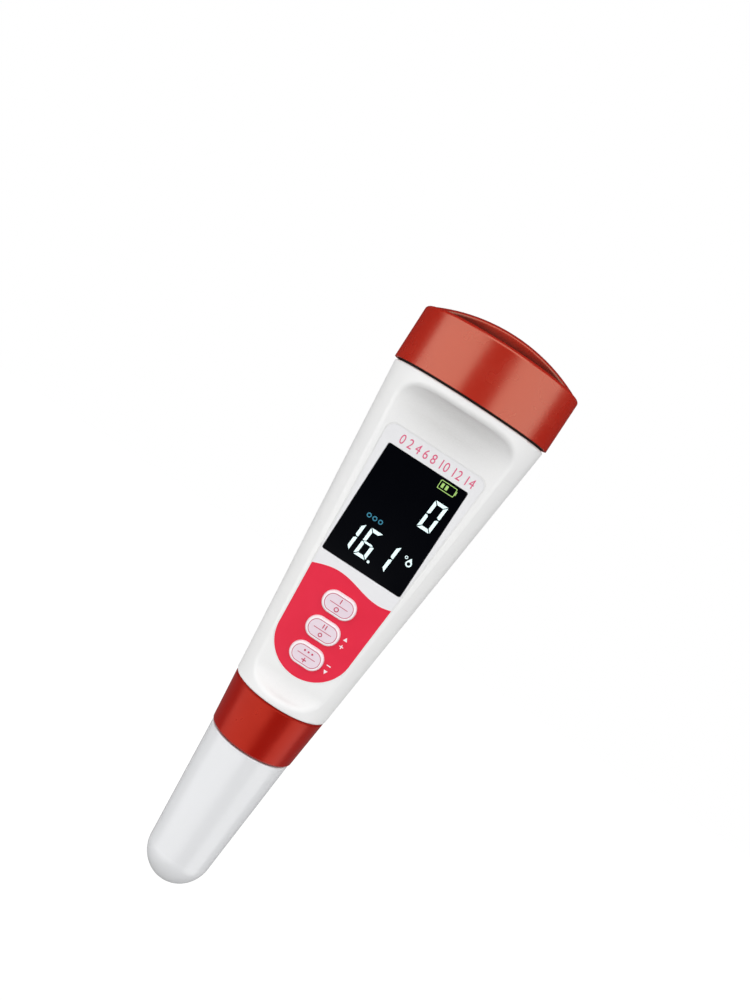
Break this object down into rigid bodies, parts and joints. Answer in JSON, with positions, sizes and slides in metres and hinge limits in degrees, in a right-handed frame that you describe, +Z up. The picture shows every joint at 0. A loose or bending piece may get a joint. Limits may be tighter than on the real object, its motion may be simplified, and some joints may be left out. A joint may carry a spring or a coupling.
{
  "type": "water quality test pen",
  "caption": "Conical hand-held water test pen with a display and keys on a flat front, a screw battery cap, a plug-in probe held by a lock ring, and a translucent protective cap.",
  "frame": {"origin": "on the pen's axis at the housing's lower face, where the lock ring seats and a holder's tapered ring begins", "axes": "+Z up along the pen towards the battery cap, probe and protective cap towards -Z; -Y is the front with display and keys; +X to the right when the display is looked at"},
  "size_m": [0.04, 0.04, 0.1478],
  "materials": {
    "housing_plastic": "satin white moulding",
    "label_film": "printed film, pale with a pink panel",
    "display_black": "polished",
    "display_glass": "polished",
    "light_guide": "milky",
    "black_plastic": "moulded",
    "rubber_grey": "soft",
    "board_green": "solder mask",
    "steel": "bright",
    "contact_gold": "plated",
    "rubber_black": "soft",
    "cover_plastic": "moulded",
    "key_plastic": "satin",
    "plunger_plastic": "moulded",
    "cap_red": "satin red moulding",
    "ring_red": "smooth red moulding",
    "probe_plastic": "moulded",
    "clear_plastic": "frosted translucent",
    "sponge": "open foam",
    "bulb_glass": "blown",
    "silver_wire": "drawn",
    "junction_ceramic": "porous"
  },
  "bodies": {
    "housing": {"housing": "housing_plastic", "label_film": "label_film", "display_window": "display_black", "lcd_glass": "display_glass", "backlight": "light_guide", "lcd_frame": "black_plastic", "lcd_connector": "rubber_grey", "main_board": "board_green", "controller_chip": "black_plastic", "signal_chip": "black_plastic", "power_switch": "black_plastic", "plus_switch": "black_plastic", "minus_switch": "black_plastic", "board_screws": "steel", "inner_frame": "black_plastic", "battery_tray": "black_plastic", "cell_1": "steel", "cell_2": "steel", "cell_3": "steel", "cell_4": "steel", "tray_contact_1": "contact_gold", "tray_contact_2": "contact_gold", "tray_contact_3": "contact_gold", "tray_contact_4": "contact_gold", "cover_contact_1": "contact_gold", "cover_contact_2": "contact_gold", "cell_cover": "cover_plastic", "battery_blades": "contact_gold", "cap_seal": "rubber_black", "probe_socket": "black_plastic", "socket_tails": "contact_gold"},
    "power_key": {"power_key": "key_plastic", "power_plunger": "plunger_plastic"},
    "plus_key": {"plus_key": "key_plastic", "plus_plunger": "plunger_plastic"},
    "minus_key": {"minus_key": "key_plastic", "minus_plunger": "plunger_plastic"},
    "cap_carrier": {"cell_pad": "rubber_grey"},
    "battery_cap": {"battery_cap": "cap_red"},
    "probe": {"probe_body": "probe_plastic", "plug_seal": "rubber_black", "collar_seal": "rubber_black", "left_electrode": "steel", "right_electrode": "steel", "temperature_sensor": "steel", "reference_junction": "junction_ceramic", "bulb_wire": "silver_wire", "glass_bulb": "bulb_glass", "probe_contact_1": "contact_gold", "probe_contact_2": "contact_gold", "probe_contact_3": "contact_gold", "probe_contact_4": "contact_gold"},
    "lock_ring": {"lock_ring": "ring_red"},
    "protective_cap": {"protective_cap": "clear_plastic", "storage_sponge": "sponge"}
  },
  "joints": [
    {"name": "cap_lift", "type": "slide", "parent": "housing", "child": "cap_carrier", "axis": [0, 0, 1], "range_m": [0, 0.006]},
    {"name": "cap_turn", "type": "hinge", "parent": "cap_carrier", "child": "battery_cap", "pos_m": [0, 0, 0.085], "axis": [0, 0, 1], "range_deg": [0, 720]},
    {"name": "probe_release", "type": "slide", "parent": "housing", "child": "probe", "axis": [0, 0, -1], "range_m": [0, 0.006]},
    {"name": "ring_turn", "type": "hinge", "parent": "probe", "child": "lock_ring", "pos_m": [0, 0, -0.006], "axis": [0, 0, -1], "range_deg": [0, 720]},
    {"name": "shield_pull", "type": "slide", "parent": "probe", "child": "protective_cap", "axis": [0, 0, -1], "range_m": [0, 0.034]},
    {"name": "power_press", "type": "slide", "parent": "housing", "child": "power_key", "axis": [0, 0.9988, 0.0489], "range_m": [0, 0.0004], "stiffness_N_per_m": 600},
    {"name": "plus_press", "type": "slide", "parent": "housing", "child": "plus_key", "axis": [0, 0.9988, 0.0489], "range_m": [0, 0.0004], "stiffness_N_per_m": 600},
    {"name": "minus_press", "type": "slide", "parent": "housing", "child": "minus_key", "axis": [0, 0.9988, 0.0489], "range_m": [0, 0.0004], "stiffness_N_per_m": 600}
  ],
  "couplings": [
    {"joint": "cap_turn", "follows": "cap_lift", "rad_per_m": 2094.4},
    {"joint": "ring_turn", "follows": "probe_release", "rad_per_m": 2094.4}
  ]
}
